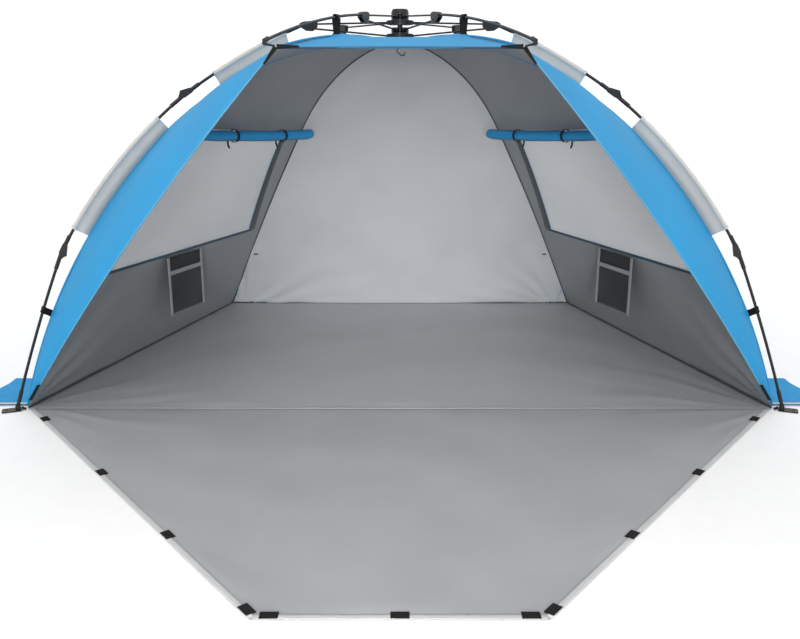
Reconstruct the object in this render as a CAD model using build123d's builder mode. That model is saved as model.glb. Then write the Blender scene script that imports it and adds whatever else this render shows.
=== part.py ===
"""An instant beach shelter: an umbrella hub, four folding legs, two awning poles, a skin and a zip-on porch.

Millimetres. The origin is on the ground under the hub, +Z is up and the opening faces -Y.
"""
import os
from collections import namedtuple
from math import atan2, degrees, sqrt

from build123d import *

os.makedirs("parts", exist_ok=True)

# ---- Driving dimensions: the skin ----
front_corner = Vector(1252, -450)  # right-hand corners of the floor
rear_corner = Vector(808, 901)
hub_skin_height = 1178  # the ceiling, under the hub
front_hub_radius = 60  # where the front seams start
rear_hub_radius = 90
front_shoulder = (792, 917)  # radius and height of the front seams' bend
rear_shoulder = (614, 834)
front_seam_bows = (76, 76)  # how far each half of a front seam bows outwards
rear_seam_bows = (55, 14)
awning_corner = Vector(310, -900, 1155)
awning_rise = 28  # bow of the awning's ridges
opening_bow = 30  # how far the side edges of the opening bow outwards
gore_foot_share = 0.8  # how far down its last span a front gore reaches
sill_height = 410  # the windows' lower edge
window_front = 0.05  # share of the wall's width in front of the window
window_rear = (0.84, 0.92)  # share in front of its rear post, at its top and at the sill
skin_thickness = 2.0
mesh_thickness = 1.0
seam_gap = 3.0  # from a seam to the skins beside it
floor_thickness = 2.0
wall_foot = 4.0  # height of the walls' lower edge
shoulder_spans = 4  # spans of skin from the hub to the shoulder
sill_spans = 3  # from the shoulder to the sill, and from the sill to the ground
roll_radius = 21
roll_offsets = (Vector(-57, 68, -32), Vector(-49, -57, 5))  # its two ends, from the two shoulders
tie_shares = (0.3, 0.72)  # places of the ties along a roll
tie_clearance = 0.5
pocket_size = (219, 10, 230)
pocket_share = 0.52  # its middle, across the wall at the sill
pocket_offset = Vector(-12, 0, -8)  # its top edge, from the sill
toggle_ring = (9, 1.5)
toggle_offset = Vector(-30, -34, 0)  # from the rear seam, just below the sill

# ---- Driving dimensions: porch, flaps and webbing ----
porch_length = 1166
porch_front_width = 632
porch_inset = 8  # its hinge stops this far inside the floor's front corners
porch_gap = 3.0  # from the floor's front edge
tab_size = (40, 24, 2.0)
tab_shares = (0.085, 0.418, 0.713, 0.978)  # along each slanted side, from the hinge
flap_gap = 6.0  # from the floor's edge to the sand flap
flap_widths = (210, 241)  # along its near and far ends
flap_span = (-420, -165)  # near and far ends along Y
webbing_width = 20
webbing_thickness = 2.0
loop_clearance = 1.5  # from a pole to the inside of a strap's loop or a sleeve
sleeve_wall = 1.5
corner_web = (14, 55)  # width and length of each strap at the awning's corners
corner_web_gap = 4  # from the awning's corner, inwards

# ---- Driving dimensions: hub and linkage ----
hub_rise = 90  # from the ceiling up to the crown pivots of the awning's arms
leg_tier_drop = 20  # the legs' arms pivot lower than the awning's
pivot_gap = 44  # from an arm's crown pivot down to its strut's runner pivot
arm_length = 280  # pivot to pivot, of the arms and of the struts
hub_radius = 30
lug_reach = 10  # from the hub's side to a pivot
crown_reach = (28, 16)  # the crown's body, below and above the awning arms' pivots
cap_height = 9
runner_reach = (30, 8)  # the runner's body, below and above its upper pivots
post_radius = 9
post_drop = 8  # from the runner down to the foot of the post
post_clearance = 0.4
lug_radius = 8
lug_width = 18
eye_radius = 6.5
eye_width = 7
slot_width = 8
pin_radius = 2.0
pin_clearance = 0.05
rivet_head = (3.6, 1.2)  # radius and thickness
rod_radius = 3.0
pole_radius = 4.75
awning_pole_radius = 4.0
socket_clearance = 0.5
connector_width = 16
connector_pivot = Vector(26, 11)  # a leg's top pivot, from its strut's pivot
connector_socket = Vector(-8, 13.5)  # where the arm's rod ends, inside the connector
connector_outlet = Vector(34, 13)  # where an awning pole leaves it

# ---- Driving dimensions: legs ----
leg_azimuths = {
    "right_front": degrees(atan2(front_corner.Y, front_corner.X)),
    "right_rear": degrees(atan2(rear_corner.Y, rear_corner.X)),
}
leg_azimuths["left_front"] = 180 - leg_azimuths["right_front"]
leg_azimuths["left_rear"] = 180 - leg_azimuths["right_rear"]
awning_azimuths = {"right_awning": -69.5, "left_awning": 249.5}
foot_pivot_height = 14
front_joints = ((746, 1015), (1170, 523), (front_corner.length + 27, foot_pivot_height))
rear_joints = ((672, 905), (985, 440), (rear_corner.length + 30, foot_pivot_height))
front_bows = (12, 32, 6)  # how far each of a leg's three poles bows outwards
rear_bows = (14, 8, 4)
awning_tip = Vector(961, 1172)
awning_bow = 14
knuckle_offset = 11  # a knuckle's pivot stands this far off the pole's axis
knuckle_slot = 9
knuckle_eye_width = 8
ferrule_wall = 1.25
ferrule_span = (18, 56)  # from its joint
housing_length = 62
socket_depth = 30
foot_plate = (62, 34, 4)
foot_heel = 11  # plate behind the pivot
foot_hole_radius = 4.5
foot_hole_reach = 36  # from the pivot to the peg hole
sleeve_ends = ((64, 120), (110, 88))  # bare pole at each end of the upper and the middle pole's sleeve
sleeve_stations = 5
strap_radius = 520  # where the awning hangs from its poles
leg_loop_reach = 190  # along a lower pole, from its elbow

# ---- Derived places ----
crown_pivot_height = hub_skin_height + hub_rise
runner_pivot_height = crown_pivot_height - pivot_gap
crown_span = (crown_pivot_height - crown_reach[0], crown_pivot_height + crown_reach[1])
runner_span = (runner_pivot_height - runner_reach[0], runner_pivot_height + runner_reach[1])
post_foot = runner_span[0] - post_drop
hub_pivot_radius = hub_radius + lug_reach
ferrule_radius = pole_radius + socket_clearance + ferrule_wall
arm_reach = sqrt(arm_length**2 - (pivot_gap / 2) ** 2)
strut_radius = hub_pivot_radius + arm_reach
hub_pivot = {}
for name in (*leg_azimuths, *awning_azimuths):
    drop = leg_tier_drop if name in leg_azimuths else 0
    hub_pivot[name] = Vector(hub_pivot_radius, crown_pivot_height - drop)
strut_pivot = {name: Vector(strut_radius, p.Y - pivot_gap / 2) for name, p in hub_pivot.items()}
azimuths = {**leg_azimuths, **awning_azimuths}

Leg = namedtuple("Leg", "name plane joints bows")


def radial_plane(azimuth):
    """The upright plane through the hub's axis at an azimuth. Its x is the radius and its y the height."""
    out = Vector(1, 0, 0).rotate(Axis.Z, azimuth)
    return Plane((0, 0, 0), x_dir=out, z_dir=out.cross(Vector(0, 0, 1)))


planes = {name: radial_plane(azimuth) for name, azimuth in azimuths.items()}
legs = []
for name in leg_azimuths:
    lower_joints, bows = (front_joints, front_bows) if "front" in name else (rear_joints, rear_bows)
    top = strut_pivot[name] + connector_pivot
    legs.append(Leg(name, planes[name], [top, *(Vector(*joint) for joint in lower_joints)], bows))


# ---- Curves ----
def bow(start, end, bulge, share):
    """The point at a share of a shallow bow from start to end, where bulge is the vector at its middle."""
    return start + (end - start) * share + bulge * (4 * share * (1 - share))


def outward(start, end, size):
    """A vector of a given size square to a line in a radial plane, up and away from the hub."""
    chord = end - start
    return Vector(-chord.Y, chord.X) * (size / chord.length)


def pole_arc(start, end, size):
    """A pole's axis in its radial plane, as an edge on the XY plane."""
    return ThreePointArc(start, (start + end) * 0.5 + outward(start, end, size), end)


def height_share(start, end, bulge, height):
    """The share of a bow at which it comes down to a height, by halving."""
    low, high = 0.0, 1.0
    for _ in range(40):
        middle = (low + high) / 2
        low, high = (middle, high) if bow(start, end, bulge, middle).Z > height else (low, middle)
    return low


def lower_shares(start, end, bulge):
    """Shares from the shoulder to the sill and on to the wall's foot, for one seam."""
    sill = height_share(start, end, bulge, sill_height)
    foot = height_share(start, end, bulge, wall_foot)
    above = [sill * i / sill_spans for i in range(1, sill_spans + 1)]
    return above + [sill + (foot - sill) * i / sill_spans for i in range(1, sill_spans + 1)]


def seam_halves(top_radius, shoulder, corner, bows):
    """The two bows of a seam in its radial plane, each as its start, its end and its bulge."""
    top, bend, foot = Vector(top_radius, hub_skin_height), Vector(*shoulder), Vector(corner.length, 0)
    ends = ((top, bend), (bend, foot))
    return [(start, end, outward(start, end, size)) for (start, end), size in zip(ends, bows)]


def seam(plane, halves):
    """The stations of one leg's seam, from the hub to the ground, and the shares of its lower half."""
    points = [(start, end, start + bulge) for start, end, bulge in halves]
    (start, end, peak), (start_2, end_2, peak_2) = ([plane.from_local_coords(p) for p in ps] for ps in points)
    shares = lower_shares(start_2, end_2, peak_2 - start_2)
    stations = [bow(start, end, peak - start, i / shoulder_spans) for i in range(shoulder_spans)]
    return stations + [bow(start_2, end_2, peak_2 - start_2, share) for share in [0, *shares]], shares


def mirrored(points):
    """The same points on the left."""
    return [Vector(-p.X, p.Y, p.Z) for p in points]


front_halves = seam_halves(front_hub_radius, front_shoulder, front_corner, front_seam_bows)
rear_halves = seam_halves(rear_hub_radius, rear_shoulder, rear_corner, rear_seam_bows)
front_seam, front_shares = seam(planes["right_front"], front_halves)
rear_seam, _ = seam(planes["right_rear"], rear_halves)
left_rear_seam = mirrored(rear_seam)

corner_azimuth = degrees(atan2(awning_corner.Y, awning_corner.X))
ridge_top = radial_plane(corner_azimuth).from_local_coords(Vector(front_hub_radius, hub_skin_height))
opening_chord = Vector(front_corner.X, front_corner.Y, 0) - awning_corner
opening_normal = opening_chord.cross(Vector(1, 0, 0))
opening_bulge = opening_normal.cross(opening_chord).normalized() * opening_bow
ridge_bulge = Vector(0, 0, awning_rise)
ridge = [bow(ridge_top, awning_corner, ridge_bulge, i / shoulder_spans) for i in range(shoulder_spans)]
opening = [awning_corner + opening_chord * s + opening_bulge * (4 * s * (1 - s)) for s in [0, *front_shares]]
gore_edge = ridge + opening
right_ridge = [*ridge, awning_corner]


# ---- Features of the skin, each added to the part that is open ----
def section_plane(rail_a, rail_b, i):
    """The plane across a skin at station i: x runs from rail a to rail b, and z on to the next station."""
    before, after = max(i - 1, 0), min(i + 1, len(rail_a) - 1)
    across = rail_b[i] - rail_a[i]
    along = rail_a[after] + rail_b[after] - rail_a[before] - rail_b[before]
    return Plane(rail_a[i], x_dir=across, z_dir=across.cross(along).cross(across))


def skin(rail_a, rail_b, stations, shares=((0, 0), (1, 1)), inset=seam_gap, thickness=skin_thickness):
    """A thin skin between two rails. Shares give its two edges across the rails, at its first and last station."""
    sections = []
    for i in stations:
        way = (i - stations[0]) / (stations[-1] - stations[0])
        width = (rail_b[i] - rail_a[i]).length
        low, high = (edge[0] + (edge[1] - edge[0]) * way for edge in shares)
        start, end = max(low * width, inset), min(high * width, width - inset)
        with BuildSketch(section_plane(rail_a, rail_b, i)) as section:
            with Locations(((start + end) / 2, 0)):
                Rectangle(end - start, thickness)
        sections.append(section.sketch)
    loft(sections, ruled=True)


# ---- Features in a radial plane, each added to the part that is open ----
def plate(plane, width, outline, mode=Mode.ADD):
    """A flat plate of a given outline, centred on the plane."""
    with BuildSketch(plane) as face:
        Polygon(*outline, align=None)
    extrude(face.sketch, amount=width / 2, both=True, mode=mode)


def barrel(plane, centre, radius, width, mode=Mode.ADD):
    """A cylinder whose axis is square to the plane."""
    with BuildSketch(plane) as face:
        with Locations(centre):
            Circle(radius)
    extrude(face.sketch, amount=width / 2, both=True, mode=mode)


def rivet(plane, centre, width):
    """A pin with a head at each end."""
    barrel(plane, centre, pin_radius, width)
    for side in (-1, 1):
        barrel(plane.offset(side * (width + rivet_head[1]) / 2), centre, *rivet_head)


def bar(plane, path, radius, bore=0.0):
    """A round bar or tube along an edge drawn in the plane's own coordinates."""
    line = plane * path
    with BuildSketch(Plane(line @ 0, z_dir=line % 0)) as section:
        Circle(radius)
        if bore:
            Circle(bore, mode=Mode.SUBTRACT)
    sweep(section.sketch, path=line)


def joint_plane(plane, point, direction):
    """A plane at a joint, with x along a pole and y to its outer side."""
    world = plane.from_local_coords(direction) - plane.origin
    return Plane(plane.from_local_coords(point), x_dir=world, z_dir=plane.z_dir)


def socket(plane, start, end, radius, mode):
    """A round bar on the plane's x axis, or a bore when subtracted."""
    with BuildSketch(Plane(plane.from_local_coords(Vector(start, 0)), z_dir=plane.x_dir)) as section:
        Circle(radius)
    extrude(section.sketch, amount=end - start, mode=mode)


def lower_fitting(plane, pivot):
    """The eye and ferrule at the top of a pole, hung from a pivot. Plane x runs down the pole."""
    side = 1 if pivot.Y >= 0 else -1
    rise = abs(pivot.Y)
    barrel(plane, pivot, eye_radius, knuckle_eye_width)
    neck = [(-5.5, rise - 3), (1, -6), (20, -6), (20, 6), (6, rise + 3.5), (0, rise + eye_radius)]
    plate(plane, knuckle_eye_width, [(x, y * side) for x, y in neck])
    socket(plane, *ferrule_span, ferrule_radius, Mode.ADD)
    bore_start = ferrule_span[1] - socket_depth
    socket(plane, bore_start, ferrule_span[1], pole_radius + socket_clearance, Mode.SUBTRACT)
    barrel(plane, pivot, pin_radius + pin_clearance, knuckle_eye_width, Mode.SUBTRACT)


def housing(plane, side):
    """The tapered, slotted housing at the foot of a pole. Plane x runs down the pole, past the joint."""
    pivot = Vector(0, side * knuckle_offset)
    cheeks = [(-30, -8), (3, -7.5), (6.4, 8), (6.4, 14), (-3, 17.2), (-12, 14), (-30, 8)]
    plate(plane, connector_width, [(x, y * side) for x, y in cheeks])
    barrel(plane, pivot, lug_radius - 1, connector_width)
    socket(plane, -housing_length, -28, ferrule_radius, Mode.ADD)
    gap = [(-9.5, -12), (9, -12), (9, 22), (-26, 22), (-26, 12.5), (-9.5, 6)]
    plate(plane, knuckle_slot, [(x, y * side) for x, y in gap], Mode.SUBTRACT)
    barrel(plane, pivot, pin_radius + pin_clearance, connector_width, Mode.SUBTRACT)
    bore_end = socket_depth - housing_length
    socket(plane, -housing_length, bore_end, pole_radius + socket_clearance, Mode.SUBTRACT)


def pole_piece(arc, start, end):
    """The stretch of a pole's axis between a length from its start and a length from its end."""
    return arc.trim(start / arc.length, 1 - end / arc.length)


def save(name, part):
    """Label a finished piece and write it."""
    part.label = name
    export_step(part, f"parts/{name}.step")


# ---- Hub: crown, cap, post, pins and runner ----
def lugs(heights):
    """Six slotted lugs round a hub, one for each arm, at its own height."""
    for name, plane in planes.items():
        centre = Vector(hub_pivot_radius, heights[name])
        low, high, root = centre.Y - lug_radius, centre.Y + lug_radius, hub_radius - lug_reach
        plate(plane, lug_width, [(root, low), (centre.X, low), (centre.X, high), (root, high)])
        barrel(plane, centre, lug_radius, lug_width)
        slot_start, reach = centre.X - eye_radius - 1, centre.X + 2 * lug_radius
        ends = ((slot_start, -2), (reach, -2), (reach, 2), (slot_start, 2))
        slot = [(x, centre.Y + y * lug_radius) for x, y in ends]
        plate(plane, slot_width, slot, Mode.SUBTRACT)
        barrel(plane, centre, pin_radius + pin_clearance, 2 * lug_width, Mode.SUBTRACT)


crown_pivots = {name: p.Y for name, p in hub_pivot.items()}
runner_pivots = {name: p.Y - pivot_gap for name, p in hub_pivot.items()}

with BuildPart() as crown:
    with BuildSketch(Plane.XY.offset(crown_span[0])):
        Circle(hub_radius)
    extrude(amount=crown_span[1] - crown_span[0])
    lugs(crown_pivots)
save("crown", crown.part)

with BuildPart() as crown_cap:
    with BuildSketch(Plane.XY.offset(crown_span[1])):
        Circle(hub_radius - 2)
    extrude(amount=cap_height)
    fillet(crown_cap.edges().group_by(Axis.Z)[-1], cap_height * 0.7)
save("crown_cap", crown_cap.part)

with BuildPart() as centre_post:
    with BuildSketch(Plane.XY.offset(post_foot)):
        Circle(post_radius)
    extrude(amount=crown_span[0] - post_foot)
    chamfer(centre_post.edges().group_by(Axis.Z)[0], 2)
save("centre_post", centre_post.part)

with BuildPart() as runner:
    with BuildSketch(Plane.XY.offset(runner_span[0])):
        Circle(hub_radius)
    extrude(amount=runner_span[1] - runner_span[0])
    lugs(runner_pivots)
    with BuildSketch(Plane.XY.offset(runner_span[0])) as bore:
        Circle(post_radius + post_clearance)
    extrude(bore.sketch, amount=runner_span[1] - runner_span[0], mode=Mode.SUBTRACT)
save("runner", runner.part)

for name, heights in (("crown_pins", crown_pivots), ("runner_pins", runner_pivots)):
    with BuildPart() as pins:
        for arm, plane in planes.items():
            rivet(plane, Vector(hub_pivot_radius, heights[arm]), lug_width)
    save(name, pins.part)


# ---- Linkage: an arm, a connector and a strut for each leg and awning pole ----
def connector(plane, pivot, has_leg):
    """The slotted block that joins an arm to its strut and to its leg or awning pole."""
    body = [(-24, 4), (-24, 21), (-4, 24), (24, 21), (35, 15), (34, 5), (12, -8), (-9, -9)]
    plate(plane, connector_width, [pivot + Vector(*p) for p in body])
    strut_gap = [(-30, -14), (42, -14), (42, 4), (22, 7.5), (-30, 7.5)]
    plate(plane, knuckle_slot, [pivot + Vector(*p) for p in strut_gap], Mode.SUBTRACT)
    barrel(plane, pivot, pin_radius + pin_clearance, connector_width, Mode.SUBTRACT)
    if has_leg:
        leg_gap = [(15, 0), (42, 0), (42, 28), (15, 28)]
        plate(plane, knuckle_slot, [pivot + Vector(*p) for p in leg_gap], Mode.SUBTRACT)
        barrel(plane, pivot + connector_pivot, pin_radius + pin_clearance, connector_width, Mode.SUBTRACT)


def arm_axis(name):
    """An arm's rod, from its crown pivot into its connector."""
    return Line(hub_pivot[name], strut_pivot[name] + connector_socket)


def awning_axis(name):
    """An awning pole, from inside its connector to its tip."""
    return pole_arc(strut_pivot[name] + connector_outlet, awning_tip, awning_bow)


for name, plane in planes.items():
    pivot, crown_pivot = strut_pivot[name], hub_pivot[name]
    rod_line, is_leg = arm_axis(name), name in leg_azimuths
    with BuildPart() as arm_rod:
        bar(plane, rod_line, rod_radius)
        barrel(plane, crown_pivot, eye_radius, eye_width)
        barrel(plane, crown_pivot, pin_radius + pin_clearance, eye_width, Mode.SUBTRACT)
    with BuildPart() as arm_block:
        connector(plane, pivot, is_leg)
        bar_length = rod_line.length + socket_clearance
        bore_line = Line(crown_pivot, crown_pivot + (rod_line % 0) * bar_length)
        bar_bore = plane * bore_line
        with BuildSketch(Plane(bar_bore @ 0, z_dir=bar_bore % 0)) as bore:
            Circle(rod_radius + pin_clearance)
        extrude(bore.sketch, amount=bar_length, mode=Mode.SUBTRACT)
    with BuildPart() as arm_pins:
        rivet(plane, pivot, connector_width)
        if is_leg:
            rivet(plane, pivot + connector_pivot, connector_width)
        else:
            bar(plane, awning_axis(name), awning_pole_radius)
            tip = joint_plane(plane, awning_tip, awning_axis(name) % 1)
            socket(tip, 0, 6, awning_pole_radius + 2, Mode.ADD)
    save(f"{name}_arm", Compound(children=[arm_rod.part, arm_block.part, arm_pins.part]))

    foot = crown_pivot - Vector(0, pivot_gap)
    with BuildPart() as strut:
        bar(plane, Line(foot, pivot), rod_radius)
        barrel(plane, foot, eye_radius, eye_width)
        barrel(plane, pivot, eye_radius, knuckle_eye_width)
        for end in (foot, pivot):
            barrel(plane, end, pin_radius + pin_clearance, knuckle_eye_width, Mode.SUBTRACT)
    save(f"{name}_strut", strut.part)


# ---- Legs: three bowed poles, two knuckles and a foot each ----
def pole(leg, number, kind):
    """One of a leg's three poles, with the fittings on its two ends."""
    plane, start, end = leg.plane, leg.joints[number], leg.joints[number + 1]
    arc = pole_arc(start, end, leg.bows[number])
    top, foot = joint_plane(plane, start, arc % 0), joint_plane(plane, end, arc % 1)
    above = pole_arc(leg.joints[number - 1], start, leg.bows[number - 1]) if number else None
    side = {0: 0, 1: 1, 2: -1}[number]
    pivot = Vector(0, 0)
    if number:
        upper = joint_plane(plane, start, above % 1)
        pivot = top.to_local_coords(upper.from_local_coords(Vector(0, side * knuckle_offset)))
    with BuildPart() as top_fitting:
        lower_fitting(top, Vector(pivot.X, pivot.Y))
    with BuildPart() as foot_fitting:
        if number < 2:
            housing(foot, 1 if number == 0 else -1)
        else:
            barrel(plane, end, eye_radius, knuckle_eye_width)
            plate(foot, knuckle_eye_width, [(0, -5), (0, 5), (-ferrule_span[0], 5), (-ferrule_span[0], -5)])
            socket(foot, -ferrule_span[1], 4 - ferrule_span[0], ferrule_radius, Mode.ADD)
            bore_end = socket_depth - ferrule_span[1]
            socket(foot, -ferrule_span[1], bore_end, pole_radius + socket_clearance, Mode.SUBTRACT)
            barrel(plane, end, pin_radius + pin_clearance, 2 * lug_width, Mode.SUBTRACT)
    rod_start = ferrule_span[1] - socket_depth + 1
    rod_end = (housing_length if number < 2 else ferrule_span[1]) - socket_depth + 1
    with BuildPart() as rod:
        bar(plane, pole_piece(arc, rod_start, rod_end), pole_radius)
    pieces = [top_fitting.part, rod.part, foot_fitting.part]
    if number < 2:
        with BuildPart() as pin:
            rivet(foot, Vector(0, knuckle_offset if number == 0 else -knuckle_offset), connector_width)
        pieces.append(pin.part)
    save(f"{leg.name}_{kind}_pole", Compound(children=pieces))


def foot(leg):
    """A foot plate with a peg hole, and two cheeks on its pole's pin."""
    pivot = leg.joints[3]
    plate_plane = Plane(leg.plane.from_local_coords(Vector(pivot.X, 0)), x_dir=leg.plane.x_dir, z_dir=(0, 0, 1))
    with BuildPart() as shoe:
        with BuildSketch(plate_plane) as sole:
            with Locations((foot_plate[0] / 2 - foot_heel, 0)):
                RectangleRounded(foot_plate[0], foot_plate[1], 6)
            with Locations((foot_hole_reach, 0)):
                Circle(foot_hole_radius, mode=Mode.SUBTRACT)
        extrude(sole.sketch, amount=foot_plate[2])
        lug = [(-lug_radius, 1), (lug_radius, 1), (lug_radius, pivot.Y), (-lug_radius, pivot.Y)]
        plate(leg.plane, lug_width, [(pivot.X + x, y) for x, y in lug])
        barrel(leg.plane, pivot, lug_radius, lug_width)
        gap = [(-20, foot_plate[2]), (20, foot_plate[2]), (20, 40), (-20, 40)]
        plate(leg.plane, knuckle_slot, [(pivot.X + x, y) for x, y in gap], Mode.SUBTRACT)
        barrel(leg.plane, pivot, pin_radius + pin_clearance, 2 * lug_width, Mode.SUBTRACT)
    with BuildPart() as pin:
        rivet(leg.plane, pivot, lug_width)
    save(f"{leg.name}_foot", Compound(children=[shoe.part, pin.part]))


for leg in legs:
    for number, kind in enumerate(("upper", "middle", "lower")):
        pole(leg, number, kind)
    foot(leg)


# ---- Skin: floor, walls, gores, awning and windows ----
def save_pair(name, part):
    """Write the right-hand piece and its mirror image as two nodes."""
    save(f"right_{name}", part)
    save(f"left_{name}", mirror(part, about=Plane.YZ))


def save_both(name, part):
    """Write a piece and its mirror image as one node."""
    save(name, Compound(children=[part, mirror(part, about=Plane.YZ)]))


with BuildPart() as floor_sheet:
    with BuildSketch():
        right = [(front_corner.X, front_corner.Y), (rear_corner.X, rear_corner.Y)]
        Polygon(*right, *[(-x, y) for x, y in reversed(right)], align=None)
    extrude(amount=floor_thickness)
save("floor_sheet", floor_sheet.part)

last = len(front_seam) - 1
sill = shoulder_spans + sill_spans
with BuildPart() as back_wall:
    skin(rear_seam, left_rear_seam, range(last + 1))
save("back_wall", back_wall.part)

with BuildPart() as side_wall:
    skin(front_seam, rear_seam, range(shoulder_spans + 1))
    skin(front_seam, rear_seam, range(sill, last + 1))
    window_stations = range(shoulder_spans, sill + 1)
    skin(front_seam, rear_seam, window_stations, ((0, 0), (window_front, window_front)))
    skin(front_seam, rear_seam, window_stations, (window_rear, (1, 1)))
save_pair("side_wall", side_wall.part)

with BuildPart() as window_mesh:
    window = ((window_front + 0.005, window_front + 0.005), (window_rear[0] - 0.005, window_rear[1] - 0.005))
    skin(front_seam, rear_seam, window_stations, window, thickness=mesh_thickness)
save_both("window_meshes", window_mesh.part)

last_span = front_seam[last] - front_seam[last - 1]
gore_seam = [*front_seam[:last], front_seam[last - 1] + last_span * gore_foot_share]
with BuildPart() as front_gore:
    skin(gore_seam, gore_edge, range(last + 1))
save_pair("front_gore", front_gore.part)

with BuildPart() as awning:
    skin(right_ridge, mirrored(right_ridge), range(shoulder_spans + 1))
save("awning", awning.part)

# ---- Inside: window rolls with their ties, and hanging pockets ----
roll_start = front_seam[shoulder_spans] + roll_offsets[0]
roll_end = rear_seam[shoulder_spans] + roll_offsets[1]
roll_way = (roll_end - roll_start).normalized()
with BuildPart() as window_roll:
    with BuildSketch(Plane(roll_start, z_dir=roll_way)) as section:
        Circle(roll_radius)
    extrude(section.sketch, amount=(roll_end - roll_start).length)
save_both("window_rolls", window_roll.part)

with BuildPart() as roll_ties:
    for share in tie_shares:
        with BuildSketch(Plane(roll_start + (roll_end - roll_start) * share, z_dir=roll_way)) as section:
            Circle(roll_radius + tie_clearance + webbing_thickness)
            Circle(roll_radius + tie_clearance, mode=Mode.SUBTRACT)
        extrude(section.sketch, amount=webbing_width / 2)
save_both("window_ties", roll_ties.part)

sill_chord = rear_seam[sill] - front_seam[sill]
pocket_top = front_seam[sill] + sill_chord * pocket_share + pocket_offset
pocket_plane = Plane(pocket_top, x_dir=sill_chord, z_dir=(0, 0, 1))
with BuildPart() as pocket:
    with BuildSketch(pocket_plane) as section:
        Rectangle(pocket_size[0], pocket_size[1])
    extrude(section.sketch, amount=-pocket_size[2])
save_both("mesh_pockets", pocket.part)

# ---- Outside: sleeves, straps, loops, flaps and webbing ----
def seam_samples(halves, count=60):
    """Points down a seam in its radial plane."""
    return [bow(*half, i / count) for half in halves for i in range(count + 1)]


loop_bore = pole_radius + loop_clearance
loop_radius = loop_bore + sleeve_wall
seam_lines = {"front": seam_samples(front_halves), "rear": seam_samples(rear_halves)}


def web(leg, path, count):
    """A flat web in a leg's plane, from its pole to the seam below, with a tube round the pole."""
    line = seam_lines["front" if "front" in leg.name else "rear"]
    outer, inner = [], []
    for i in range(count):
        point = path @ (i / (count - 1))
        foot_ = min(line, key=lambda p: (p - point).length)
        way = (foot_ - point).normalized()
        outer.append(point + way * (loop_radius - 0.5))
        inner.append(foot_ - way * seam_gap)
    plate(leg.plane, webbing_thickness, [(p.X, p.Y) for p in outer + inner[::-1]])
    bar(leg.plane, path, loop_radius, loop_bore)


def sleeves(leg):
    """The sleeves on a leg's upper and middle poles."""
    for number, (start, end) in enumerate(sleeve_ends):
        arc = pole_arc(leg.joints[number], leg.joints[number + 1], leg.bows[number])
        web(leg, pole_piece(arc, start, end), sleeve_stations)


def leg_loop(leg):
    """A short strap from a lower pole to the seam."""
    arc = pole_arc(leg.joints[2], leg.joints[3], leg.bows[2])
    web(leg, pole_piece(arc, leg_loop_reach, arc.length - leg_loop_reach - webbing_width), 2)


for side in ("right", "left"):
    with BuildPart() as front_sleeves:
        sleeves(next(leg for leg in legs if leg.name == f"{side}_front"))
    save(f"{side}_front_sleeves", front_sleeves.part)

with BuildPart() as rear_sleeves:
    for leg in legs:
        if "rear" in leg.name:
            sleeves(leg)
save("rear_sleeves", rear_sleeves.part)

with BuildPart() as leg_loops:
    for leg in legs:
        leg_loop(leg)
save("leg_loops", leg_loops.part)

with BuildPart() as awning_strap:
    name = "right_awning"
    arc = awning_axis(name)
    reach = strap_radius - arc.position_at(0).X
    strap_path = pole_piece(arc, reach, arc.length - reach - webbing_width)
    bore = awning_pole_radius + loop_clearance
    bar(planes[name], strap_path, bore + sleeve_wall, bore)
    top_left, top_right = strap_path @ 0 - Vector(0, bore + 1), strap_path @ 1 - Vector(0, bore + 1)
    ridge_height = hub_skin_height + awning_rise / 2 + skin_thickness
    strap_foot = [(top_right.X - 3, ridge_height), (top_left.X + 3, ridge_height)]
    plate(planes[name], webbing_thickness, [(top_left.X, top_left.Y), (top_right.X, top_right.Y), *strap_foot])
save_both("awning_straps", awning_strap.part)

with BuildPart() as flap:
    with BuildSketch():
        floor_edge = rear_corner - front_corner
        inner = []
        for y in flap_span:
            inner.append((front_corner + floor_edge * ((y - front_corner.Y) / floor_edge.Y)).X + flap_gap)
        (near, far), (y_near, y_far) = inner, flap_span
        outer = [(far + flap_widths[1], y_far), (near + flap_widths[0], y_near)]
        Polygon((near, y_near), *reversed(outer), (far, y_far), align=None)
    extrude(amount=floor_thickness)
save_both("sand_flaps", flap.part)

with BuildPart() as foot_webbing:
    for leg in legs:
        corner = front_corner if "front" in leg.name else rear_corner
        start, end = corner.length + 1, leg.joints[3].X - foot_heel - 1
        outline = [(start, 0), (end, 0), (end, webbing_thickness), (start, webbing_thickness)]
        plate(leg.plane, webbing_width, outline)
save("foot_webbing", foot_webbing.part)

right_ring = [ridge_top, front_seam[0], rear_seam[0]]
with BuildPart() as hub_patch:
    with BuildSketch(Plane.XY.offset(hub_skin_height - skin_thickness / 2)):
        Polygon(*[(p.X, p.Y) for p in right_ring + mirrored(right_ring)[::-1]], align=None)
        offset(amount=-2 * seam_gap, kind=Kind.INTERSECTION)
    extrude(amount=skin_thickness)
save("hub_patch", hub_patch.part)

hook_top, hook_shank, hook_radius, hook_wire = hub_skin_height - skin_thickness, 16, 9, 2
with BuildPart() as ceiling_hook:
    with BuildLine(Plane.XZ) as path:
        Line((0, hook_top), (0, hook_top - hook_shank))
        CenterArc((hook_radius, hook_top - hook_shank), hook_radius, 180, 200)
    with BuildSketch(Plane(path.line @ 0, z_dir=path.line % 0)) as section:
        Circle(hook_wire)
    sweep(section.sketch, path=path.line)
save("ceiling_hook", ceiling_hook.part)

with BuildPart() as toggle:
    with Locations(rear_seam[sill + 1] + toggle_offset):
        Torus(*toggle_ring)
save_both("wall_toggles", toggle.part)

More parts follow.
